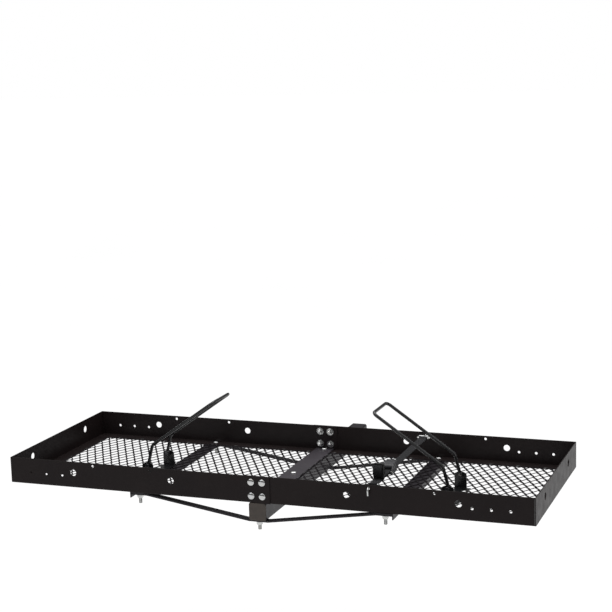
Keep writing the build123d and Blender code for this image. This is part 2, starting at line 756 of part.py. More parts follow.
lever_half = CHEEK_X - LEVER_SIDE_GAP
with BuildPart() as cam_lever:
    with BuildSketch(end_plane(STRAP_X - lever_half)):
        with Locations((BUCKLE_Y, cam_z - CAM_OFF)):
            Circle(CAM_R)
        with BuildLine():
            Polyline(
                (BUCKLE_Y - 5, cam_z + 3),
                (BUCKLE_Y + LEVER_L, cam_z + 6),
                (BUCKLE_Y + LEVER_L, cam_z + 9),
                (BUCKLE_Y - 2, cam_z + 6.5),
                close=True,
            )
        make_face()
        with Locations((BUCKLE_Y, cam_z)):
            Circle(CAM_PIN_R + RUN_FIT, mode=Mode.SUBTRACT)
    extrude(amount=2 * lever_half)
finish(cam_lever.part, "cam_buckle_lever")
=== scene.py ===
import math
import random

import bmesh
import bpy
from mathutils import Matrix, Vector


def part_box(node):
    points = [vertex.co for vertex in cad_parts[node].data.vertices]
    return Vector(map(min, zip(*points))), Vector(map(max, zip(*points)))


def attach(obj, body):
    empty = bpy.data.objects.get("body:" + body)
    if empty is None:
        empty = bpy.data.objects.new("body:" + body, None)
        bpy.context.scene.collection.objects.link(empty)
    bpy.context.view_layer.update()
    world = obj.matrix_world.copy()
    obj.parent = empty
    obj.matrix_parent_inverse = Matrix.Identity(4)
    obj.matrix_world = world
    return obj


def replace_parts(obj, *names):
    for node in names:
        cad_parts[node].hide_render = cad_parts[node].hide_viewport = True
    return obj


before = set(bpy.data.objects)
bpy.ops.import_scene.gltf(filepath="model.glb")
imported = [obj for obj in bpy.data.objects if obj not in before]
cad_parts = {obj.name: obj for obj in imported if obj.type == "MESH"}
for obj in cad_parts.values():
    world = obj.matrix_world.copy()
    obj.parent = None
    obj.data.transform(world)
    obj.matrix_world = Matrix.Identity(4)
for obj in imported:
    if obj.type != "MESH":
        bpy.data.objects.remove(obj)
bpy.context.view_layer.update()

MM = 0.001
SAME_POINT = 2e-6
random.seed(7)

# ---------------------------------------------------------------- places, all from the frame
tube_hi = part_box("shank_tube")[1]
near_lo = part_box("near_rail_left")[0]
far_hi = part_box("far_rail_right")[1]
DECK_Z = tube_hi.z
TRAY_Y = (near_lo.y + far_hi.y) / 2
HALF_L = far_hi.x
HALF_W = far_hi.y - TRAY_Y
RAIL_H = far_hi.z - DECK_Z


def at(x, y, z):
    """A point given in millimetres from the middle of the tray, at the underside of the rails."""
    return Vector((x * MM, TRAY_Y + y * MM, DECK_Z + z * MM))


def from_tray(y):
    """A place along Y in metres, as millimetres from the middle of the tray."""
    return (y - TRAY_Y) / MM


def in_metres(profile):
    """A (radius, height) profile in millimetres, as metres."""
    return [(radius * MM, height * MM) for radius, height in profile]


def islands(node):
    """The box of each separate solid of a CAD node, as (lowest corner, highest corner)."""
    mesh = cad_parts[node].data
    bm = bmesh.new()
    bm.from_mesh(mesh)
    bmesh.ops.remove_doubles(bm, verts=bm.verts, dist=SAME_POINT)
    seen, boxes = set(), []
    for start in bm.verts:
        if start in seen:
            continue
        stack, members = [start], []
        seen.add(start)
        while stack:
            v = stack.pop()
            members.append(v.co.copy())
            for e in v.link_edges:
                other = e.other_vert(v)
                if other not in seen:
                    seen.add(other)
                    stack.append(other)
        lo = Vector([min(c[i] for c in members) for i in range(3)])
        hi = Vector([max(c[i] for c in members) for i in range(3)])
        boxes.append((lo, hi))
    bm.free()
    return sorted(boxes, key=lambda b: (round(b[0].x, 4), round(b[0].y, 4), round(b[0].z, 4)))


# ---------------------------------------------------------------- materials


NOISE_ROUGHNESS = 0.55


class Shader:
    """A few short words for building a node material."""

    def __init__(self, name, **sockets):
        self.mat = bpy.data.materials.new(name)
        self.mat.use_nodes = True
        self.tree = self.mat.node_tree
        self.bsdf = self.tree.nodes["Principled BSDF"]
        for key, value in sockets.items():
            self.bsdf.inputs[key.replace("_", " ")].default_value = value

    def node(self, kind, **settings):
        made = self.tree.nodes.new(kind)
        for key, value in settings.items():
            setattr(made, key, value)
        return made

    def link(self, a, b):
        self.tree.links.new(a, b)

    def coords(self, which="Object"):
        return self.node("ShaderNodeTexCoord").outputs[which]

    def stretched(self, scale):
        mapping = self.node("ShaderNodeMapping")
        mapping.inputs["Scale"].default_value = scale
        self.link(self.coords(), mapping.inputs["Vector"])
        return mapping.outputs["Vector"]

    def noise(self, scale, detail=4.0, vector=None):
        made = self.node("ShaderNodeTexNoise")
        made.inputs["Scale"].default_value = scale
        made.inputs["Detail"].default_value = detail
        made.inputs["Roughness"].default_value = NOISE_ROUGHNESS
        self.link(vector or self.coords(), made.inputs["Vector"])
        return made.outputs["Fac"]

    def ramp(self, fac, *stops):
        made = self.node("ShaderNodeValToRGB")
        ramp = made.color_ramp
        while len(ramp.elements) < len(stops):
            ramp.elements.new(0.5)
        for element, (place, colour) in zip(ramp.elements, stops):
            element.position = place
            grey = isinstance(colour, (int, float))
            element.color = (colour, colour, colour, 1) if grey else (*colour, 1)
        self.link(fac, made.inputs["Fac"])
        return made.outputs["Color"]

    def math(self, operation, a, b):
        made = self.node("ShaderNodeMath", operation=operation)
        for socket, value in zip(made.inputs, (a, b)):
            if isinstance(value, (int, float)):
                socket.default_value = value
            else:
                self.link(value, socket)
        return made.outputs[0]

    def mix(self, fac, a, b):
        made = self.node("ShaderNodeMix", data_type="RGBA")
        for socket, value in ((made.inputs[0], fac), (made.inputs[6], a), (made.inputs[7], b)):
            if isinstance(value, (int, float)):
                socket.default_value = value
            elif isinstance(value, tuple):
                socket.default_value = (*value, 1)
            else:
                self.link(value, socket)
        return made.outputs[2]

    def colour(self, value):
        self.link(value, self.bsdf.inputs["Base Color"])

    def rough(self, value):
        self.link(value, self.bsdf.inputs["Roughness"])

    def bump(self, height, strength, distance):
        """Adds a bump of a height in millimetres on top of any bump already there."""
        made = self.node("ShaderNodeBump")
        made.inputs["Strength"].default_value = strength
        made.inputs["Distance"].default_value = distance * MM
        last = self.bsdf.inputs["Normal"].links
        if last:
            self.link(last[0].from_socket, made.inputs["Normal"])
        self.link(height, made.inputs["Height"])
        self.link(made.outputs["Normal"], self.bsdf.inputs["Normal"])


SPECK_SHARE = 0.10
SPECK_GAIN = 2.2
DUST_SHARE = 0.02
DUST_COLOUR = (0.16, 0.15, 0.145)


def powder_coat(name, dark, light, rough=(0.36, 0.46), peel=0.2, coat=0.0, shine=0.16):
    """Baked-on black powder: fine orange peel, faint dust and small changes of tone."""
    s = Shader(name, Specular_IOR_Level=shine, Coat_Weight=coat, Coat_Roughness=0.25)
    tone = s.noise(5.0, 3.0)
    grain = s.noise(160.0, 3.0)
    base = s.mix(s.ramp(tone, (0.35, 0.0), (0.7, 1.0)), dark, light)
    speck = s.ramp(grain, (0.62, 0.0), (0.72, 1.0))
    base = s.mix(s.math("MULTIPLY", speck, SPECK_SHARE), base, tuple(min(1, SPECK_GAIN * c) for c in light))
    dust = s.math("MULTIPLY", s.ramp(s.noise(70.0, 8.0), (0.5, 0.0), (0.9, 1.0)), DUST_SHARE)
    base = s.mix(dust, base, DUST_COLOUR)
    s.colour(base)
    s.rough(s.ramp(s.noise(34.0, 6.0), (0.3, rough[0]), (0.75, rough[1])))
    s.bump(s.noise(720.0, 2.0), peel, 0.35)
    s.bump(s.noise(11.0, 2.0), 0.10, 1.2)
    return s.mat


def zinc_plate(name, light=(0.64, 0.64, 0.62), dark=(0.40, 0.41, 0.42), rough=(0.08, 0.20)):
    """Bright zinc plate: metal with a soft cloudy tone, fine scratches and a little dulling."""
    s = Shader(name, Metallic=1.0)
    cloud = s.noise(210.0, 5.0)
    base = s.mix(s.ramp(cloud, (0.3, 0.0), (0.72, 1.0)), dark, light)
    warm = s.ramp(s.noise(95.0, 2.0), (0.55, 0.0), (0.8, 0.35))
    s.colour(s.mix(warm, base, (0.60, 0.55, 0.43)))
    s.rough(s.ramp(s.noise(330.0, 6.0), (0.3, rough[0]), (0.8, rough[1])))
    scratch = s.noise(1.0, 3.0, s.stretched((260.0, 2600.0, 900.0)))
    s.bump(scratch, 0.12, 0.06)
    return s.mat


def moulded(name, dark, light, rough=0.5):
    """Moulded plastic or rubber with a fine spark-eroded grain."""
    s = Shader(name)
    s.colour(s.mix(s.ramp(s.noise(60.0, 4.0), (0.35, 0.0), (0.7, 1.0)), dark, light))
    s.rough(s.ramp(s.noise(240.0, 4.0), (0.3, rough - 0.08), (0.75, rough + 0.12)))
    s.bump(s.noise(1500.0, 2.0), 0.3, 0.12)
    return s.mat


RIBS_ACROSS = 9.0
CHEVRONS_PER_WIDTH = 18.0


def webbing_weave(name):
    """Woven polyester: rows of small chevrons along the length, in the ribbon's own UV."""
    s = Shader(name, Sheen_Weight=0.08, Sheen_Roughness=0.5, Specular_IOR_Level=0.12)
    split = s.node("ShaderNodeSeparateXYZ")
    s.link(s.coords("UV"), split.inputs[0])
    across, along = split.outputs[0], split.outputs[1]
    # u runs 0..1 across the width and v counts widths along the length
    zig = s.math("PINGPONG", s.math("MULTIPLY", across, RIBS_ACROSS), 1.0)
    phase = s.math("ADD", s.math("MULTIPLY", along, CHEVRONS_PER_WIDTH), zig)
    thread = s.math("PINGPONG", phase, 0.5)
    rib = s.math("PINGPONG", s.math("MULTIPLY", across, RIBS_ACROSS), 0.5)
    height = s.math("ADD", s.math("MULTIPLY", thread, 1.4), s.math("MULTIPLY", rib, 0.8))
    fuzz = s.noise(900.0, 3.0)
    # painted shade: the colour darkens with the weave's height, so its low places look shaded; the lighter
    # fuzz patches are random tone
    tone = s.ramp(height, (0.15, (0.003, 0.003, 0.0035)), (0.95, (0.014, 0.014, 0.016)))
    s.colour(s.mix(s.ramp(fuzz, (0.45, 0.0), (0.8, 0.25)), tone, (0.03, 0.03, 0.033)))
    s.rough(s.ramp(fuzz, (0.3, 0.68), (0.8, 0.9)))
    s.bump(height, 0.8, 0.5)
    s.bump(fuzz, 0.35, 0.2)
    return s.mat


def weld_metal(name):
    """Painted-over weld: ripples under the powder."""
    s = Shader(name)
    cloud = s.ramp(s.noise(300.0), (0.4, 0.0), (0.7, 1.0))
    s.colour(s.mix(cloud, (0.010, 0.009, 0.009), (0.03, 0.026, 0.026)))
    s.rough(s.ramp(s.noise(500.0), (0.3, 0.36), (0.75, 0.6)))
    s.bump(s.noise(620.0, 3.0), 0.5, 0.5)
    return s.mat


def pale_floor(name):
    """A white sweep that gives off a little light of its own, so that it stays white far away."""
    s = Shader(name, Emission_Color=(1, 1, 1, 1), Emission_Strength=0.90)
    s.colour(s.ramp(s.noise(1.2, 3.0), (0.35, 0.11), (0.7, 0.13)))
    s.rough(s.ramp(s.noise(9.0, 5.0), (0.3, 0.6), (0.7, 0.75)))
    s.bump(s.noise(140.0, 3.0), 0.04, 0.6)
    return s.mat


RAIL_PAINT = powder_coat("rail_powder_coat", (0.0100, 0.0072, 0.0074), (0.0130, 0.0092, 0.0090), shine=0.11)
# painted light: the far rails share the rails' black powder coat, made lighter and shinier here to stand in
# for light falling on their faces
FAR_RAIL_LIT_PAINT = powder_coat(
    "far_rail_powder_coat_painted_light", (0.0125, 0.0090, 0.0092), (0.0160, 0.0115, 0.0112), shine=0.2
)
MESH_PAINT = powder_coat("floor_powder_coat", (0.010, 0.0085, 0.010), (0.016, 0.013, 0.0155))
SUPPORT_PAINT = powder_coat(
    "support_powder_coat", (0.014, 0.012, 0.0145), (0.022, 0.0185, 0.0225), shine=0.2
)
# painted light: the same black powder coat made about three times lighter and shinier, standing in for
# light on the centre strip's top
STRIP_LIT_PAINT = powder_coat("strip_powder_coat_painted_light", (0.030, 0.026, 0.031), (0.044, 0.038, 0.045), shine=0.35)
HOOP_PAINT = powder_coat(
    "hoop_gloss_paint", (0.005, 0.005, 0.0055), (0.010, 0.010, 0.011),
    rough=(0.2, 0.3), peel=0.12, coat=0.25, shine=0.4,
)
BUCKLE = powder_coat(
    "buckle_coating", (0.03, 0.03, 0.033), (0.055, 0.055, 0.06), rough=(0.3, 0.45), peel=0.1, shine=0.4
)
ZINC = zinc_plate("bright_zinc")
DARK_ZINC = zinc_plate("black_zinc", (0.10, 0.10, 0.105), (0.045, 0.045, 0.05), (0.3, 0.5))
CAP = moulded("cap_plastic", (0.030, 0.021, 0.015), (0.044, 0.031, 0.023), 0.42)
RUBBER = moulded("keeper_rubber", (0.010, 0.010, 0.010), (0.020, 0.020, 0.020), 0.6)
THREAD = moulded("stitching_thread", (0.035, 0.035, 0.038), (0.07, 0.07, 0.075), 0.7)
WEBBING = webbing_weave("black_webbing")
WELD = weld_metal("painted_weld")
FLOOR = pale_floor("pale_floor")

# ---------------------------------------------------------------- mesh words


def piece(name, verts, faces, material, body="tray", smooth=35, uvs=None):
    """A new mesh piece that rides on a CAD body; smooth is the angle kept sharp, in degrees."""
    mesh = bpy.data.meshes.new(name)
    mesh.from_pydata([tuple(v) for v in verts], [], faces)
    mesh.validate()
    mesh.materials.append(material)
    if uvs:
        layer = mesh.uv_layers.new(name="UVMap")
        for loop in mesh.loops:
            layer.data[loop.index].uv = uvs[loop.vertex_index]
    obj = bpy.data.objects.new(name, mesh)
    bpy.context.scene.collection.objects.link(obj)
    bm = bmesh.new()
    bm.from_mesh(mesh)
    bmesh.ops.recalc_face_normals(bm, faces=bm.faces)
    bm.to_mesh(mesh)
    bm.free()
    smooth_by_angle(mesh, smooth)
    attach(obj, body)
    return obj


def smooth_by_angle(mesh, degrees):
    mesh.shade_smooth()
    mesh.set_sharp_from_angle(angle=math.radians(degrees))


FLAT_ANGLE = 1
EDGE_ANGLE = 40
SMOOTH_ANGLE = 32
EDGE_STEPS = 2


def softened(node, material, body="tray", width=0.5):
    """A copy of a CAD node with its folded or sheared edges rounded, shown in its place."""
    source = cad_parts[node]
    mesh = source.data.copy()
    mesh.name = node + "_finished"
    bm = bmesh.new()
    bm.from_mesh(mesh)
    bmesh.ops.remove_doubles(bm, verts=bm.verts, dist=SAME_POINT)
    bmesh.ops.dissolve_limit(bm, angle_limit=math.radians(FLAT_ANGLE), verts=bm.verts, edges=bm.edges)
    limit = math.radians(EDGE_ANGLE)
    sharp = [e for e in bm.edges if len(e.link_faces) == 2 and e.calc_face_angle() > limit]
    bmesh.ops.bevel(
        bm, geom=sharp, offset=width * MM, segments=EDGE_STEPS, profile=0.5, affect="EDGES",
        clamp_overlap=True,
    )
    bm.to_mesh(mesh)
    bm.free()
    mesh.materials.clear()
    mesh.materials.append(material)
    smooth_by_angle(mesh, SMOOTH_ANGLE)
    obj = bpy.data.objects.new(node + "_finished", mesh)
    bpy.context.scene.collection.objects.link(obj)
    weighted = obj.modifiers.new("weighted", "WEIGHTED_NORMAL")
    weighted.keep_sharp = True
    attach(obj, body)
    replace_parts(obj, node)
    return obj


def rounded_path(points, radii, steps=8):
    """The corner points joined by straight runs, each inner corner rounded by its radius."""
    path = [points[0]]
    for before, corner, after, radius in zip(points, points[1:], points[2:], radii):
        a = (before - corner).normalized()
        b = (after - corner).normalized()
        half = a.angle(b) / 2
        run = radius / math.tan(half)
        centre = corner + (a + b).normalized() * (radius / math.sin(half))
        start = corner + a * run - centre
        axis = start.cross(corner + b * run - centre).normalized()
        turn = math.pi - 2 * half
        for i in range(steps + 1):
            path.append(centre + Matrix.Rotation(turn * i / steps, 3, axis) @ start)
    path.append(points[-1])
    return path


def tube_mesh(path, radius, sides=20, closed=False):
    """A round bar along a path, its section carried along without twist; radius may be a list."""
    count = len(path)
    tangents = []
    for i in range(count):
        before = path[i - 1] if closed or i else path[0]
        after = path[(i + 1) % count] if closed or i < count - 1 else path[-1]
        tangents.append((after - before).normalized())
    side = tangents[0].orthogonal().normalized()
    verts, faces = [], []
    for i, (point, tangent) in enumerate(zip(path, tangents)):
        side = (side - tangent * side.dot(tangent)).normalized()
        other = tangent.cross(side)
        size = radius[i] if isinstance(radius, list) else radius
        for k in range(sides):
            angle = 2 * math.pi * k / sides
            verts.append(point + (side * math.cos(angle) + other * math.sin(angle)) * size)
    rings = count if closed else count - 1
    for i in range(rings):
        for k in range(sides):
            a, b = i * sides + k, i * sides + (k + 1) % sides
            c, d = ((i + 1) % count) * sides + (k + 1) % sides, ((i + 1) % count) * sides + k
            faces.append((a, b, c, d))
    if not closed:
        faces.append(tuple(range(sides))[::-1])
        faces.append(tuple(range((count - 1) * sides, count * sides)))
    return verts, faces


def lathe_mesh(profile, centre, axis, sides=32, shape=None):
    """Turns (radius, height) points round an axis; shape(angle, radius) may square it off."""
    turn = axis.to_track_quat("Z", "Y").to_matrix()
    verts, faces = [], []
    for radius, height in profile:
        for k in range(sides):
            angle = 2 * math.pi * k / sides
            r = shape(angle, radius) if shape else radius
            verts.append(centre + turn @ Vector((r * math.cos(angle), r * math.sin(angle), height)))
    for i in range(len(profile) - 1):
        for k in range(sides):
            a, b = i * sides + k, i * sides + (k + 1) % sides
            faces.append((a, b, b + sides, a + sides))
    faces.append(tuple(range(sides))[::-1])
    faces.append(tuple(range((len(profile) - 1) * sides, len(profile) * sides)))
    return verts, faces


def merged(meshes):
    """Several (verts, faces) pairs as one."""
    verts, faces = [], []
    for more_verts, more_faces in meshes:
        base = len(verts)
        verts.extend(more_verts)
        faces.extend(tuple(base + i for i in face) for face in more_faces)
    return verts, faces


# ---------------------------------------------------------------- camera, light and floor


SENSOR_W = 36
LENS = 88.65
CAMERA_PLACE = (1521.2, -3899.0, 1228.3)
CAMERA_YAW, CAMERA_PITCH, CAMERA_ROLL = 20.634, 9.990, -1.671
# name, place in millimetres, size in metres, power, colour
SOFTBOXES = (
    ("top_softbox", (-200, 300, 2600), (3.4, 2.6), 62, (1, 1, 1)),
    ("front_softbox", (-1900, -3000, 2100), (1.1, 0.9), 8, (0.86, 0.90, 1.0)),
    ("right_softbox", (3000, -400, 1300), (1.2, 1.2), 9, (1.0, 0.93, 0.96)),
)
FLOOR_Z = -0.42
FLOOR_HALF = 40.0
# the room is dim near the horizon and bright overhead; heights are on a unit sphere
HORIZON_FILL, ZENITH_FILL = 0.10, 0.85
HORIZON_HEIGHT, ZENITH_HEIGHT = 0.22, 0.85


def make_camera():
    """Stands in front and to the right of the tray, looking a little down and to the left."""
    data = bpy.data.cameras.new("camera")
    data.sensor_width = SENSOR_W
    data.lens = LENS
    camera = bpy.data.objects.new("camera", data)
    bpy.context.scene.collection.objects.link(camera)
    turn = (
        Matrix.Rotation(math.radians(CAMERA_YAW), 4, "Z")
        @ Matrix.Rotation(math.radians(90 - CAMERA_PITCH), 4, "X")
        @ Matrix.Rotation(math.radians(CAMERA_ROLL), 4, "Z")
    )
    camera.matrix_world = Matrix.Translation(at(*CAMERA_PLACE)) @ turn
    bpy.context.scene.camera = camera


def area_light(name, place, target, size, power, colour):
    data = bpy.data.lights.new(name, "AREA")
    data.shape = "RECTANGLE"
    data.size, data.size_y = size
    data.energy = power
    data.color = colour
    lamp = bpy.data.objects.new(name, data)
    bpy.context.scene.collection.objects.link(lamp)
    facing = (place - target).to_track_quat("Z", "Y").to_matrix().to_4x4()
    lamp.matrix_world = Matrix.Translation(place) @ facing


def make_floor():
    size = FLOOR_HALF
    corners = [(-size, -size), (size, -size), (size, size), (-size, size)]
    mesh = bpy.data.meshes.new("studio_floor")
    mesh.from_pydata([(x, y, FLOOR_Z) for x, y in corners], [], [(0, 1, 2, 3)])
    mesh.materials.append(FLOOR)
    floor = bpy.data.objects.new("studio_floor", mesh)
    bpy.context.scene.collection.objects.link(floor)


def make_room():
    """Light from all round, graded by height, with plain white seen behind the object."""
    world = bpy.data.worlds.new("studio")
    world.use_nodes = True
    nodes, links = world.node_tree.nodes, world.node_tree.links
    background = nodes["Background"]
    background.inputs["Color"].default_value = (1.0, 1.0, 1.0, 1)
    direction = nodes.new("ShaderNodeTexCoord")
    height = nodes.new("ShaderNodeSeparateXYZ")
    links.new(direction.outputs["Generated"], height.inputs[0])
    sky = nodes.new("ShaderNodeMapRange")
    sky.inputs["From Min"].default_value = HORIZON_HEIGHT
    sky.inputs["From Max"].default_value = ZENITH_HEIGHT
    sky.inputs["To Min"].default_value = HORIZON_FILL
    sky.inputs["To Max"].default_value = ZENITH_FILL
    links.new(height.outputs["Z"], sky.inputs["Value"])
    seen = nodes.new("ShaderNodeLightPath")
    strength = nodes.new("ShaderNodeMix")
    strength.inputs[3].default_value = 1.0
    links.new(seen.outputs["Is Camera Ray"], strength.inputs[0])
    links.new(sky.outputs["Result"], strength.inputs[2])
    links.new(strength.outputs[0], background.inputs["Strength"])
    bpy.context.scene.world = world


def make_studio():
    make_floor()
    make_room()
    middle = at(0, 0, 60)
    for name, place, size, power, colour in SOFTBOXES:
        area_light(name, at(*place), middle, size, power, colour)
    view = bpy.context.scene.view_settings
    view.view_transform = "Standard"
    view.look = "None"


make_camera()
make_studio()

# ---------------------------------------------------------------- sheet-metal pieces

for node in ("near_rail_left", "near_rail_right", "end_rail_left", "end_rail_right"):
    softened(node, RAIL_PAINT, width=0.45)
for node in ("far_rail_left", "far_rail_right"):
    softened(node, FAR_RAIL_LIT_PAINT, width=0.45)
for node in ("shank_tube", "cross_member_left", "cross_member_right", "brace_near", "brace_far"):
    softened(node, SUPPORT_PAINT, width=0.5)
softened("centre_strip", STRIP_LIT_PAINT, width=0.5)

# ---------------------------------------------------------------- expanded-metal floor

DIAMOND_X, DIAMOND_Y = 26.6, 48.0
STRAND_W, STRAND_T = 3.9, 2.1
STRAND_TILT = math.radians(-20)
FLOOR_T = 3.0
BOND_HALF = 4.4
BOND_LIFT = 0.35
# how far a strand swings across, and how far in it starts, as shares of its width
SWING_SHARE, START_SHARE = 0.55, 0.27
# how far in from the sheet's box the strands stop and the edge strips lie
EDGE_CLEAR, CUT_INSET, END_STRIP_INSET, SIDE_STRIP_INSET = 0.5, 0.4, 1.2, 1.5
SIDE_STRIP_Z = 1.0


def strand(path, tilt):
    """A flat strand along a path: a rectangular section rolled about its own length."""
    verts, faces = [], []
    for i, point in enumerate(path):
        ahead = path[min(i + 1, len(path) - 1)] - path[max(i - 1, 0)]
        along = ahead.normalized()
        across = Vector((0, 0, 1)).cross(along).normalized()
        roll = Matrix.Rotation(tilt, 3, along)
        wide, thick = roll @ across, roll @ Vector((0, 0, 1))
        for u, v in ((-1, -1), (1, -1), (1, 1), (-1, 1)):
            verts.append(point + (wide * u * STRAND_W / 2 + thick * v * STRAND_T / 2) * MM)
    for i in range(len(path) - 1):
        for k in range(4):
            a, b = 4 * i + k, 4 * i + (k + 1) % 4
            faces.append((a, b, b + 4, a + 4))
    faces.append((3, 2, 1, 0))
    last = 4 * (len(path) - 1)
    faces.append((last, last + 1, last + 2, last + 3))
    return verts, faces


def mesh_floor(side):
    """Slit-and-stretched sheet: zigzag strands side by side, meeting in a row of bonds."""
    lo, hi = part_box("mesh_floor_" + side)
    x_lo, x_hi = lo.x / MM, hi.x / MM
    y_lo, y_hi = from_tray(lo.y), from_tray(hi.y)
    columns = int((x_hi - x_lo) / (DIAMOND_X / 2))
    x_first = (x_lo + x_hi) / 2 - columns * DIAMOND_X / 4 + STRAND_W * START_SHARE
    y_mid = (y_lo + y_hi) / 2
    half_rows = int((y_hi - y_mid) / (DIAMOND_Y / 2)) + 1
    swing = DIAMOND_X / 2 - STRAND_W * SWING_SHARE
    meshes = []
    for column in range(columns):
        x = x_first + column * DIAMOND_X / 2
        points = []
        for row in range(-half_rows, half_rows + 1):
            y = y_mid + row * DIAMOND_Y / 2
            far_side = (row + column) % 2
            here = x + (swing if far_side else 0)
            lift = BOND_LIFT if far_side else -BOND_LIFT
            for dy in (-BOND_HALF, BOND_HALF):
                if y_lo + EDGE_CLEAR < y + dy < y_hi - EDGE_CLEAR:
                    points.append(at(here, y + dy, FLOOR_T / 2 + lift))
        # the cut ends run out to the flange along the line they were on
        first, last = points[0].copy(), points[-1].copy()
        first.y = TRAY_Y + (y_lo + CUT_INSET) * MM
        last.y = TRAY_Y + (y_hi - CUT_INSET) * MM
        meshes.append(strand([first] + points + [last], STRAND_TILT))
    # the sheared edges of the sheet, welded down to the flanges all round
    for x in (x_lo + END_STRIP_INSET, x_hi - END_STRIP_INSET):
        meshes.append(strand([at(x, y_lo, FLOOR_T / 2), at(x, y_hi, FLOOR_T / 2)], 0))
    for y in (y_lo + SIDE_STRIP_INSET, y_hi - SIDE_STRIP_INSET):
        meshes.append(strand([at(x_lo, y, SIDE_STRIP_Z), at(x_hi, y, SIDE_STRIP_Z)], 0))
    verts, faces = merged(meshes)
    floor = piece("expanded_metal_" + side, verts, faces, MESH_PAINT, smooth=25)
    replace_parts(floor, "mesh_floor_" + side)


mesh_floor("left")
mesh_floor("right")

# ---------------------------------------------------------------- fasteners

DOME_STEPS = 8
DOME_FULLNESS = 0.92
DOME_RIM = 0.6
THREAD_DEPTH = 0.48
THREAD_SHARES = (0.12, 0.5, 0.88)
TIP_CHAMFER = 1.1
NUT_CHAMFER = 0.14


def thread_profile(radius, start, end, pitch, depth):
    """Ridges from start down to end, each a small V, closing in a chamfered tip."""
    points = []
    turns = max(1, int((start - end) / pitch))
    for i in range(turns):
        top = start - i * pitch
        crest, root, next_crest = (top - share * pitch for share in THREAD_SHARES)
        points += [(radius, crest), (radius - depth, root), (radius, next_crest)]
    points.append((radius - TIP_CHAMFER * depth, end))
    return points


def hexagon(flat):
    """A shape for lathe_mesh: a round section cut down to six flats, each at flat from the axis."""
    def shape(angle, radius):
        sector = (angle + math.pi / 6) % (math.pi / 3) - math.pi / 6
        return min(radius, flat / math.cos(sector))
    return shape


def bolts(node, axis, radius, head_h, thread_l, pitch=1.6):
    """Domed carriage bolts: a crowned head with a soft rim, a plain shank and a threaded end."""
    meshes = []
    along = [i for i in range(3) if abs(axis[i]) > 0.5][0]
    sign = axis[along]
    for lo, hi in islands(node):
        head_r = (hi[(along + 1) % 3] - lo[(along + 1) % 3]) / MM / 2
        shank = (hi[along] - lo[along]) / MM - head_h
        seat = (lo + hi) / 2
        seat[along] = (hi[along] if sign > 0 else lo[along]) - sign * head_h * MM
        profile = [(0.01, head_h)]
        for i in range(1, DOME_STEPS + 1):
            angle = math.pi / 2 * i / DOME_STEPS
            height = DOME_RIM + (head_h - DOME_RIM) * math.cos(angle)
            profile.append((head_r * math.sin(angle) ** DOME_FULLNESS, height))
        profile += [(head_r, 0.25), (head_r - 0.3, 0.0), (radius, 0.0)]
        profile += thread_profile(radius, thread_l - shank, -shank, pitch, THREAD_DEPTH * pitch)
        profile.append((0.01, -shank))
        meshes.append(lathe_mesh(in_metres(profile), seat, Vector(axis), 32))
    verts, faces = merged(meshes)
    obj = piece(node + "_finished", verts, faces, ZINC, smooth=28)
    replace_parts(obj, node)


def hex_nuts(node, axis, flats, bore, material=ZINC):
    """Nuts with chamfered corners on both faces."""
    along = [i for i in range(3) if abs(axis[i]) > 0.5][0]
    meshes = []
    flat = flats / 2 * MM
    corner = flat / math.cos(math.pi / 6)
    for lo, hi in islands(node):
        base = (lo + hi) / 2
        base[along] = lo[along]
        height = hi[along] - lo[along]
        profile = [
            (bore * MM, 0.0), (flat * 0.97, 0.0), (corner, height * NUT_CHAMFER),
            (corner, height * (1 - NUT_CHAMFER)), (flat * 0.97, height), (bore * MM, height),
        ]
        meshes.append(lathe_mesh(profile, base, Vector(axis), 48, hexagon(flat)))
    verts, faces = merged(meshes)
    obj = piece(node + "_finished", verts, faces, material, smooth=25)
    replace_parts(obj, node)


FRAME_BOLT_R, FRAME_HEAD_H = 4.75, 4.5
FRAME_NUT_FLATS, FRAME_NUT_BORE = 15, 4.6

for node, axis, nut_axis, thread_l in (
    ("splice_%s_near", (0, -1, 0), (0, 1, 0), 12),
    ("splice_%s_far", (0, 1, 0), (0, 1, 0), 12),
    ("brace_%s", (0, 0, 1), (0, 0, 1), 20),
    ("shank_%s", (0, 0, 1), (0, 0, 1), 24),
):
    bolts(node % "bolts", axis, FRAME_BOLT_R, FRAME_HEAD_H, thread_l)
    hex_nuts(node % "nuts", nut_axis, FRAME_NUT_FLATS, FRAME_NUT_BORE)
    softened(node % "washers", ZINC, width=0.25)
softened("shank_end_cap", CAP, width=0.3)

# ---------------------------------------------------------------- wheel hoops

HOOP_R = 4.5
HOOP_EYE_HALF = 5.0
HOOP_BEND_IN, HOOP_BEND_UP = 14.0, 60.0
HOOP_FOOT_UP = 7.0
HOOP_LEG_BEND_R, HOOP_CORNER_R = 18.0, 14.0
EYE_BEAD_R, EYE_BEAD_UP, EYE_BEAD_POINTS = 5.2, 7.6, 22
EYE_PROFILE = [(4.1, -5), (7.4, -5), (8, -4.4), (8, 4.4), (7.4, 5), (4.1, 5)]


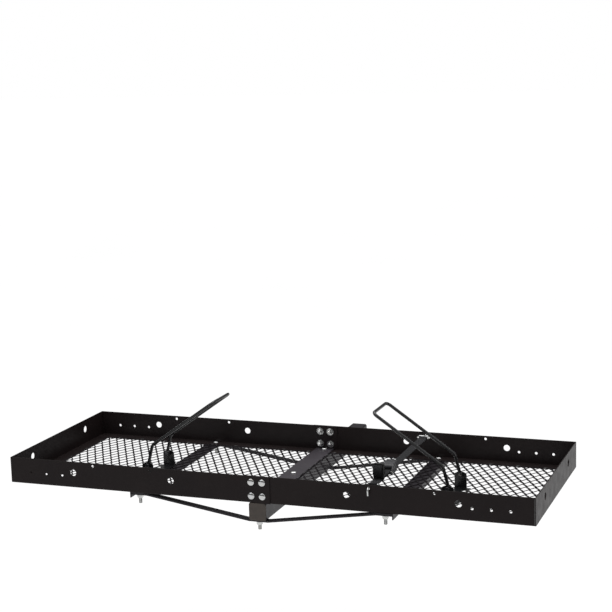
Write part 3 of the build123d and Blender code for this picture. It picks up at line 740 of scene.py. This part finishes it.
def wheel_hoop(side, inboard):
    """The round bar is bent afresh along the CAD hoop's own box, with its two pivot eyes."""
    lo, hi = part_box("wheel_hoop_" + side)
    pivot_lo, pivot_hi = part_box("hoop_pivot_bolts_" + side)
    pivot_x = (pivot_lo.x + pivot_hi.x) / 2
    pivot_z = (pivot_lo.z + pivot_hi.z) / 2
    near_y, far_y = lo.y + HOOP_EYE_HALF * MM, hi.y - HOOP_EYE_HALF * MM
    foot = (pivot_x, pivot_z + HOOP_FOOT_UP * MM)
    bend = (pivot_x + inboard * HOOP_BEND_IN * MM, pivot_z + HOOP_BEND_UP * MM)
    top = ((hi.x if inboard > 0 else lo.x) - inboard * HOOP_R * MM, hi.z - HOOP_R * MM)
    points = [Vector((x, near_y, z)) for x, z in (foot, bend, top)]
    points += [Vector((x, far_y, z)) for x, z in (top, bend, foot)]
    radii = [r * MM for r in (HOOP_LEG_BEND_R, HOOP_CORNER_R, HOOP_CORNER_R, HOOP_LEG_BEND_R)]
    meshes = [tube_mesh(rounded_path(points, radii, 10), HOOP_R * MM, 24)]
    for y in (near_y, far_y):
        centre = Vector((pivot_x, y, pivot_z))
        verts, faces = lathe_mesh(in_metres(EYE_PROFILE), centre, Vector((0, 1, 0)), 36)
        meshes.append((verts, faces[:-2]))
        bead_path = []
        for i in range(EYE_BEAD_POINTS):
            angle = 2 * math.pi * i / EYE_BEAD_POINTS
            offset = (math.cos(angle) * EYE_BEAD_R, math.sin(angle) * EYE_BEAD_R, EYE_BEAD_UP)
            bead_path.append(centre + Vector(offset) * MM)
        sizes = [(1.5 + 0.35 * random.random()) * MM for _ in bead_path]
        meshes.append(tube_mesh(bead_path, sizes, 8, closed=True))
    verts, faces = merged(meshes)
    obj = piece("bent_hoop_" + side, verts, faces, HOOP_PAINT, "hoop_" + side, smooth=30)
    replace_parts(obj, "wheel_hoop_" + side)


for side, inboard in (("left", 1), ("right", -1)):
    wheel_hoop(side, inboard)
    softened("hoop_base_" + side, HOOP_PAINT, width=0.5)
    softened("hoop_clamp_plate_" + side, HOOP_PAINT, width=0.4)
    bolts("hoop_base_bolts_" + side, (0, 0, 1), 3.0, 3.0, 10, pitch=1.0)
    hex_nuts("hoop_base_nuts_" + side, (0, 0, 1), 10, 2.9)
    hex_nuts("hoop_pivot_nuts_" + side, (0, 1, 0), 13, 3.9, DARK_ZINC)

# ---------------------------------------------------------------- hoop pivots


PIVOT_R = 4.0
PIVOT_HEAD_H, PIVOT_HEAD_FLAT = 4.0, 6.5
PIVOT_THREAD_L, PIVOT_PITCH, PIVOT_THREAD_DEPTH = 12, 1.25, 0.45
END_SLICE = 0.001
NEAR_AXIS = 0.02


def head_side(node, lo, hi):
    """+1 or -1 along Y: the end of this bolt where the CAD solid is widest."""
    reach = {-1: 0.0, 1: 0.0}
    middle = (lo + hi) / 2
    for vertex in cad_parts[node].data.vertices:
        co = vertex.co
        if abs(co.x - middle.x) > NEAR_AXIS or abs(co.z - middle.z) > NEAR_AXIS:
            continue
        for end, distance in ((1, abs(co.y - hi.y)), (-1, abs(co.y - lo.y))):
            if distance < END_SLICE:
                reach[end] = max(reach[end], math.hypot(co.x - middle.x, co.z - middle.z))
    return 1 if reach[1] > reach[-1] else -1


def pivot_bolts(node):
    """Hex-headed bolts along Y, each head on the side where the CAD bolt has it."""
    meshes = []
    flat = PIVOT_HEAD_FLAT
    corner = flat / math.cos(math.pi / 6)
    head = [
        (0.01, PIVOT_HEAD_H), (flat * 0.95, PIVOT_HEAD_H), (corner, PIVOT_HEAD_H * 0.82),
        (corner, 0.4), (flat * 0.97, 0.0), (0.01, 0.0),
    ]
    for lo, hi in islands(node):
        side = head_side(node, lo, hi)
        out = Vector((0, side, 0))
        stem_l = (hi.y - lo.y) / MM - PIVOT_HEAD_H
        seat = (lo + hi) / 2
        seat.y = (hi.y if side > 0 else lo.y) - side * PIVOT_HEAD_H * MM
        meshes.append(lathe_mesh(in_metres(head), seat, out, 48, hexagon(flat * MM)))
        stem = [(0.01, 0.0), (PIVOT_R, 0.0)]
        stem += thread_profile(PIVOT_R, PIVOT_THREAD_L - stem_l, -stem_l, PIVOT_PITCH, PIVOT_THREAD_DEPTH)
        stem.append((0.01, -stem_l))
        meshes.append(lathe_mesh(in_metres(stem), seat, out, 28))
    verts, faces = merged(meshes)
    obj = piece(node + "_finished", verts, faces, DARK_ZINC, smooth=28)
    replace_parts(obj, node)


pivot_bolts("hoop_pivot_bolts_left")
pivot_bolts("hoop_pivot_bolts_right")

# ---------------------------------------------------------------- tie-down strap

short_lo, short_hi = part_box("strap_short_end")
long_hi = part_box("strap_long_end")[1]
roll_lo, roll_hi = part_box("strap_roll")
body_lo, body_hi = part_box("cam_buckle_body")
# the CAD webbing's thickness, and the thickness that one layer shows
WEB_W, WEB_T = 25.0, 1.8
LAYER = 1.6
LAYER_GAP = 0.1
WIRE_R = 2.5
STRAP_X = (short_lo.x + short_hi.x) / 2 / MM
STRAP_Z = ((short_lo.z + short_hi.z) / 2 - DECK_Z) / MM
LOOP_R = WIRE_R + WEB_T
NEAR_BAR = from_tray(short_lo.y) + LOOP_R
REAR_BAR = from_tray(short_hi.y) - LOOP_R
FAR_BAR = from_tray(long_hi.y) - LOOP_R
ROLL_Y = from_tray((roll_lo.y + roll_hi.y) / 2)
ROLL_Z = ((roll_lo.z + roll_hi.z) / 2 - DECK_Z) / MM
ROLL_R = (roll_hi.z - roll_lo.z) / 2 / MM
BUCKLE_Y = from_tray((body_lo.y + body_hi.y) / 2)
# sewn ends: where the fold starts, ends and is let out again, from the bar it goes round
SEWN_L, REAR_SEWN_L, FOLD_L, LEAD_L = 36, 34, 9, 13
STITCH_START, STITCH_END = 14, 33
# half the section of the webbing, as shares of its width and of half its thickness
SELVEDGE = [
    (-0.5, 0), (-0.485, 0.8), (-0.44, 1), (-0.2, 0.96), (0, 0.94), (0.2, 0.96), (0.44, 1), (0.485, 0.8),
]
SECTION = SELVEDGE + [(-u, -v) for u, v in SELVEDGE]
RIPPLE_WAVES = (0.071, 0.023)


def ribbon(name, line, wander=0.25):
    """Webbing along a line of (y, z) points: soft selvedges and a slight ripple along its length."""
    verts, faces, uvs = [], [], []
    run, count = 0.0, len(SECTION)
    for i, (y, z) in enumerate(line):
        before, after = line[max(i - 1, 0)], line[min(i + 1, len(line) - 1)]
        along = Vector((after[0] - before[0], after[1] - before[1])).normalized()
        normal = Vector((-along.y, along.x))
        if i:
            run += math.dist(line[i - 1], line[i])
        ripple = wander * math.sin(run * RIPPLE_WAVES[0]) * math.sin(run * RIPPLE_WAVES[1] + 1.0)
        for u, v in SECTION:
            lift = v * LAYER / 2 + ripple * u
            verts.append(at(STRAP_X + u * WEB_W + ripple * 0.6, y + normal.x * lift, z + normal.y * lift))
            uvs.append((u + 0.5, run / WEB_W))
    for i in range(len(line) - 1):
        for k in range(count):
            a, b = i * count + k, i * count + (k + 1) % count
            faces.append((a, b, b + count, a + count))
    faces.append(tuple(range(count))[::-1])
    faces.append(tuple(range((len(line) - 1) * count, len(line) * count)))
    return piece(name, verts, faces, WEBBING, smooth=60, uvs=uvs)


def bow(y, z, radius, start, end, steps=20):
    """Points round a bar, from one angle to another in degrees."""
    angles = [math.radians(start + (end - start) * i / steps) for i in range(steps + 1)]
    return [(y + radius * math.cos(a), z + radius * math.sin(a)) for a in angles]


def ease(start, end, steps=8):
    """A gentle S from one (y, z) point to another, level at both ends."""
    points = []
    for i in range(1, steps + 1):
        t = i / steps
        rise = 3 * t * t - 2 * t**3
        points.append((start[0] + (end[0] - start[0]) * t, start[1] + (end[1] - start[1]) * rise))
    return points


def level(start, end, step=6.0):
    """Evenly spaced points of a straight run."""
    steps = max(2, int(math.dist(start, end) / step))
    return [(start[0] + (end[0] - start[0]) * i / steps, start[1] + (end[1] - start[1]) * i / steps)
            for i in range(1, steps + 1)]


STITCH_HALF_W = 9.5
STITCH_PITCH = 3.1
THREAD_R = 0.32
# one stitch: shares of its length, and the height of the thread there
STITCH_SHAPE = ((0.0, -0.15), (0.2, 0.18), (0.8, 0.18), (1.0, -0.15))
STITCH_GAP = 0.12


def stitches(patches):
    """Box-and-cross stitching: rows of short thread lengths standing on the webbing."""
    meshes = []
    for y_lo, y_hi, z in patches:
        left, right = STRAP_X - STITCH_HALF_W, STRAP_X + STITCH_HALF_W
        rows = (
            ((left, y_lo), (right, y_lo)), ((right, y_lo), (right, y_hi)), ((right, y_hi), (left, y_hi)),
            ((left, y_hi), (left, y_lo)), ((left, y_lo), (right, y_hi)), ((left, y_hi), (right, y_lo)),
        )
        for start, end in rows:
            count = int(math.dist(start, end) / STITCH_PITCH)
            for i in range(count):
                path = []
                for share, lift in STITCH_SHAPE:
                    t = (i + STITCH_GAP + (1 - 2 * STITCH_GAP) * share) / count
                    x = start[0] + (end[0] - start[0]) * t
                    y = start[1] + (end[1] - start[1]) * t
                    path.append(at(x, y, z + lift))
                meshes.append(tube_mesh(path, THREAD_R * MM, 6))
    verts, faces = merged(meshes)
    thread = piece("strap_stitching", verts, faces, THREAD, smooth=50)


TURN_R = WIRE_R + LAYER / 2 + LAYER_GAP
UNDER_Z = STRAP_Z - LAYER - LAYER_GAP
OVER_Z = STRAP_Z + TURN_R + LAYER + 0.2
ROLL_TURNS, ROLL_STEPS = 8.6, 28
ROLL_OUTER = ROLL_R - LAYER / 2 - 0.7
ROLL_INNER = 3.6


def sewn_start(bar, way):
    """The sewn-back end, round the bar and out along the strap; way is +1 or -1 along Y."""
    line = [(bar + way * SEWN_L, UNDER_Z)]
    line += level((bar + way * SEWN_L, UNDER_Z), (bar + way * FOLD_L, UNDER_Z))
    line += ease((bar + way * FOLD_L, UNDER_Z), (bar, STRAP_Z - TURN_R), 5)[:-1]
    line += bow(bar, STRAP_Z, TURN_R, 270 if way > 0 else -90, 90)
    line += ease((bar, STRAP_Z + TURN_R), (bar + way * LEAD_L, STRAP_Z))
    return line


def strap():
    # short end: sewn loop on the near hook, sewn loop on the buckle's rear bar
    line = sewn_start(NEAR_BAR, 1)
    line += level((NEAR_BAR + LEAD_L, STRAP_Z), (REAR_BAR - LEAD_L, STRAP_Z))
    line += ease((REAR_BAR - LEAD_L, STRAP_Z), (REAR_BAR, STRAP_Z + TURN_R))[:-1]
    line += bow(REAR_BAR, STRAP_Z, TURN_R, 90, -90)
    line += ease((REAR_BAR, STRAP_Z - TURN_R), (REAR_BAR - FOLD_L, UNDER_Z), 5)
    line += level((REAR_BAR - FOLD_L, UNDER_Z), (REAR_BAR - REAR_SEWN_L, UNDER_Z))
    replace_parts(ribbon("short_webbing", line), "strap_short_end")
    # long end: sewn loop on the far hook, under the cam, over the rear bar, then along to the roll
    line = sewn_start(FAR_BAR, -1)
    line += level((FAR_BAR - LEAD_L, STRAP_Z), (BUCKLE_Y - 4, STRAP_Z))
    line += ease((BUCKLE_Y - 4, STRAP_Z), (REAR_BAR + 1, OVER_Z))
    line += level((REAR_BAR + 1, OVER_Z), (REAR_BAR - 12, OVER_Z))
    line += ease((REAR_BAR - 12, OVER_Z), (ROLL_Y + 1, ROLL_Z - ROLL_OUTER), 10)
    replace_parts(ribbon("long_webbing", line), "strap_long_end")
    total = int(ROLL_TURNS * ROLL_STEPS)
    spiral = []
    for i in range(total + 1):
        angle = math.radians(-90) - 2 * math.pi * i / ROLL_STEPS
        radius = ROLL_OUTER + (ROLL_INNER - ROLL_OUTER) * i / total
        spiral.append((ROLL_Y + radius * math.cos(angle), ROLL_Z + radius * math.sin(angle)))
    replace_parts(ribbon("rolled_webbing", spiral, wander=0.9), "strap_roll")
    top = STRAP_Z + LAYER / 2
    stitches([
        (NEAR_BAR + STITCH_START, NEAR_BAR + STITCH_END, top),
        (REAR_BAR - STITCH_END + 1, REAR_BAR - STITCH_START, top),
        (FAR_BAR - STITCH_END, FAR_BAR - STITCH_START, top),
    ])


KEEPER_CLEAR = 0.9
KEEPER_DROP = 0.7
KEEPER_CORNER_R, KEEPER_CORNER_STEPS = 3.0, 6
KEEPER_HALF_W, KEEPER_T, KEEPER_RIBS = 4.8, 1.2, 6
RIB_HIGH, RIB_LOW = 0.12, -0.05


def keeper():
    """An elastic band round the roll and the webbing under it."""
    bottom = STRAP_Z - LAYER * 1.5 - KEEPER_DROP
    top = ROLL_Z + ROLL_R + KEEPER_CLEAR
    half = WEB_W / 2 + KEEPER_CLEAR
    corner = KEEPER_CORNER_R
    path = []
    for x_side, centre_z, start in ((1, top - corner, 0), (-1, top - corner, 90),
                                    (-1, bottom + corner, 180), (1, bottom + corner, 270)):
        centre_x = x_side * (half - corner)
        for i in range(KEEPER_CORNER_STEPS + 1):
            angle = math.radians(start + 90 * i / KEEPER_CORNER_STEPS)
            path.append((centre_x + corner * math.cos(angle), centre_z + corner * math.sin(angle), angle))
    section = []
    for i in range(KEEPER_RIBS * 2 + 1):
        across = -KEEPER_HALF_W + KEEPER_HALF_W * i / KEEPER_RIBS
        section.append((across, KEEPER_T / 2 + (RIB_HIGH if i % 2 else RIB_LOW)))
    section += [(KEEPER_HALF_W, -KEEPER_T / 2), (-KEEPER_HALF_W, -KEEPER_T / 2)]
    verts, faces = [], []
    for x, z, angle in path:
        for along, out in section:
            verts.append(at(STRAP_X + x + out * math.cos(angle), ROLL_Y + along, z + out * math.sin(angle)))
    n, m = len(section), len(path)
    for i in range(m):
        for k in range(n):
            a, b = i * n + k, i * n + (k + 1) % n
            c, d = ((i + 1) % m) * n + (k + 1) % n, ((i + 1) % m) * n + k
            faces.append((a, b, c, d))
    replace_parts(piece("elastic_keeper", verts, faces, RUBBER, smooth=40), "strap_keeper")


# places along the hook, from the rail's inner face, and the half width of its ring
RING_NEAR, RING_FAR, RING_HALF = 14, 34, 19
TIP_OUT, TIP_DROP, STEM_OUT = 10, 18, 13
HOOK_BEND_R, RING_BEND_R = 6, 4
TIP_STEPS = ((1.6, 0.9), (1.1, 1.8))
RING_GAP = 3.2
WELD_BALL = [(0.01, 1.3), (1.5, 1.0), (2.2, 0.0), (1.5, -1.0), (0.01, -1.3)]


def hook(side, inner_y, out):
    """Bent wire: the tip outside the rail, the stem through its hole and the ring, closed by a weld."""
    near_y = inner_y - out * RING_NEAR
    bar_y = inner_y - out * RING_FAR
    corners = [
        at(STRAP_X, inner_y + out * TIP_OUT, STRAP_Z - TIP_DROP),
        at(STRAP_X, inner_y + out * STEM_OUT, STRAP_Z),
        at(STRAP_X, near_y, STRAP_Z), at(STRAP_X + RING_HALF, near_y, STRAP_Z),
        at(STRAP_X + RING_HALF, bar_y, STRAP_Z), at(STRAP_X - RING_HALF, bar_y, STRAP_Z),
        at(STRAP_X - RING_HALF, near_y, STRAP_Z), at(STRAP_X - RING_GAP, near_y, STRAP_Z),
    ]
    path = rounded_path(corners, [HOOK_BEND_R * MM] + [RING_BEND_R * MM] * 5, 9)
    start, ahead = path[0], (path[0] - path[1]).normalized()
    tip = [start + ahead * reach * MM for reach, _ in TIP_STEPS]
    sizes = [radius * MM for _, radius in TIP_STEPS] + [WIRE_R * MM] * len(path)
    meshes = [tube_mesh(tip + path, sizes, 20)]
    for i in range(5):
        spot = at(STRAP_X - 2.4 + i * 0.5, near_y, STRAP_Z + 1.2 - 0.5 * abs(i - 2))
        meshes.append(lathe_mesh(in_metres(WELD_BALL), spot, Vector((0, 0, 1)), 14))
    verts, faces = merged(meshes)
    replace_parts(piece("bent_hook_" + side, verts, faces, ZINC, smooth=35), "strap_hook_" + side)


RIVET_PROUD = 0.5
GRIP_RIBS, GRIP_PITCH, GRIP_R = 5, 3.0, 0.7
GRIP_INSET = 2.5
LEVER_SLOPE = 0.075


def buckle():
    softened("cam_buckle_body", BUCKLE, width=0.45)
    meshes = []
    for lo, hi in islands("cam_buckle_pins"):
        radius = (hi.z - lo.z) / 2 / MM
        length = (hi.x - lo.x) / MM
        rim = radius + RIVET_PROUD
        half = [(0.01, 0), (radius * 0.7, 0.05), (rim, 0.5), (rim, 0.85), (radius, 1.0)]
        profile = half + [(r, length - h) for r, h in reversed(half)]
        centre = Vector((lo.x, (lo.y + hi.y) / 2, (lo.z + hi.z) / 2))
        meshes.append(lathe_mesh(in_metres(profile), centre, Vector((1, 0, 0)), 28))
    verts, faces = merged(meshes)
    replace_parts(piece("riveted_pins", verts, faces, ZINC, smooth=35), "cam_buckle_pins")
    softened("cam_buckle_lever", BUCKLE, "cam_lever", width=0.4)
    # pressed grip ribs across the end of the lever
    lo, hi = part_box("cam_buckle_lever")
    meshes = []
    half = (hi.x - lo.x) / 2 / MM - GRIP_INSET
    for i in range(1, GRIP_RIBS + 1):
        y = from_tray(hi.y) - GRIP_PITCH * i
        z = (hi.z - DECK_Z) / MM - LEVER_SLOPE * GRIP_PITCH * i - 0.05
        meshes.append(tube_mesh([at(STRAP_X - half, y, z), at(STRAP_X + half, y, z)], GRIP_R * MM, 12))
    verts, faces = merged(meshes)
    ribs = piece("lever_grip_ribs", verts, faces, BUCKLE, "cam_lever", smooth=40)


strap()
keeper()
hook("near", NEAR_BAR - RING_FAR, -1)
hook("far", FAR_BAR + RING_FAR, 1)
buckle()

# ---------------------------------------------------------------- welds


SHEET = 2.5
CORNER_INSET = SHEET + 0.6
CORNER_BEAD_R, CORNER_BEAD_STEPS = 1.9, 34
CORNER_BEAD_START, CORNER_BEAD_LOSS = 4, 6
FLOOR_BEAD_R, FLOOR_BEAD_POINTS, FLOOR_BEAD_STEP = 1.7, 8, 1.6
FLOOR_BEAD_Z = 2.6
SPOTS_ALONG, SPOTS_ACROSS = 9, 5


def bead(path, radius, rng):
    """A weld run: a tube whose thickness ripples as it was laid."""
    sizes = [radius * (0.85 + 0.3 * rng.random()) * MM for _ in path]
    sizes[0] = sizes[-1] = radius * 0.4 * MM
    return tube_mesh(path, sizes, 8)


def corner_beads(rng):
    """Upright runs in the four inner corners of the tray."""
    meshes = []
    for x_side in (-1, 1):
        for y_side in (-1, 1):
            x = x_side * (HALF_L / MM - CORNER_INSET)
            y = y_side * (HALF_W / MM - CORNER_INSET)
            path = []
            for i in range(CORNER_BEAD_STEPS + 1):
                z = CORNER_BEAD_START + (RAIL_H / MM - CORNER_BEAD_LOSS) * i / CORNER_BEAD_STEPS
                path.append(at(x, y, z))
            meshes.append(bead(path, CORNER_BEAD_R, rng))
    return meshes


def floor_beads(side, rng):
    """Short runs that hold a mesh floor down to the flanges, along three of its edges."""
    lo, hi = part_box("mesh_floor_" + side)
    x_lo, x_hi = lo.x / MM, hi.x / MM
    y_lo, y_hi = from_tray(lo.y), from_tray(hi.y)
    spots = []
    for i in range(SPOTS_ALONG):
        x = x_lo + (x_hi - x_lo) * (i + 0.5) / SPOTS_ALONG
        spots += [(x, y_lo, True), (x, y_hi, True)]
    for i in range(SPOTS_ACROSS):
        y = y_lo + (y_hi - y_lo) * (i + 0.5) / SPOTS_ACROSS
        spots.append((x_lo if side == "left" else x_hi, y, False))
    meshes = []
    for x, y, lengthwise in spots:
        path = []
        for i in range(FLOOR_BEAD_POINTS):
            t = (i - (FLOOR_BEAD_POINTS - 1) / 2) * FLOOR_BEAD_STEP
            path.append(at(x + (t if lengthwise else 0), y + (0 if lengthwise else t), FLOOR_BEAD_Z))
        meshes.append(bead(path, FLOOR_BEAD_R, rng))
    return meshes


def welds():
    rng = random.Random(21)
    meshes = corner_beads(rng) + floor_beads("left", rng) + floor_beads("right", rng)
    verts, faces = merged(meshes)
    obj = piece("weld_beads", verts, faces, WELD, smooth=50)


welds()
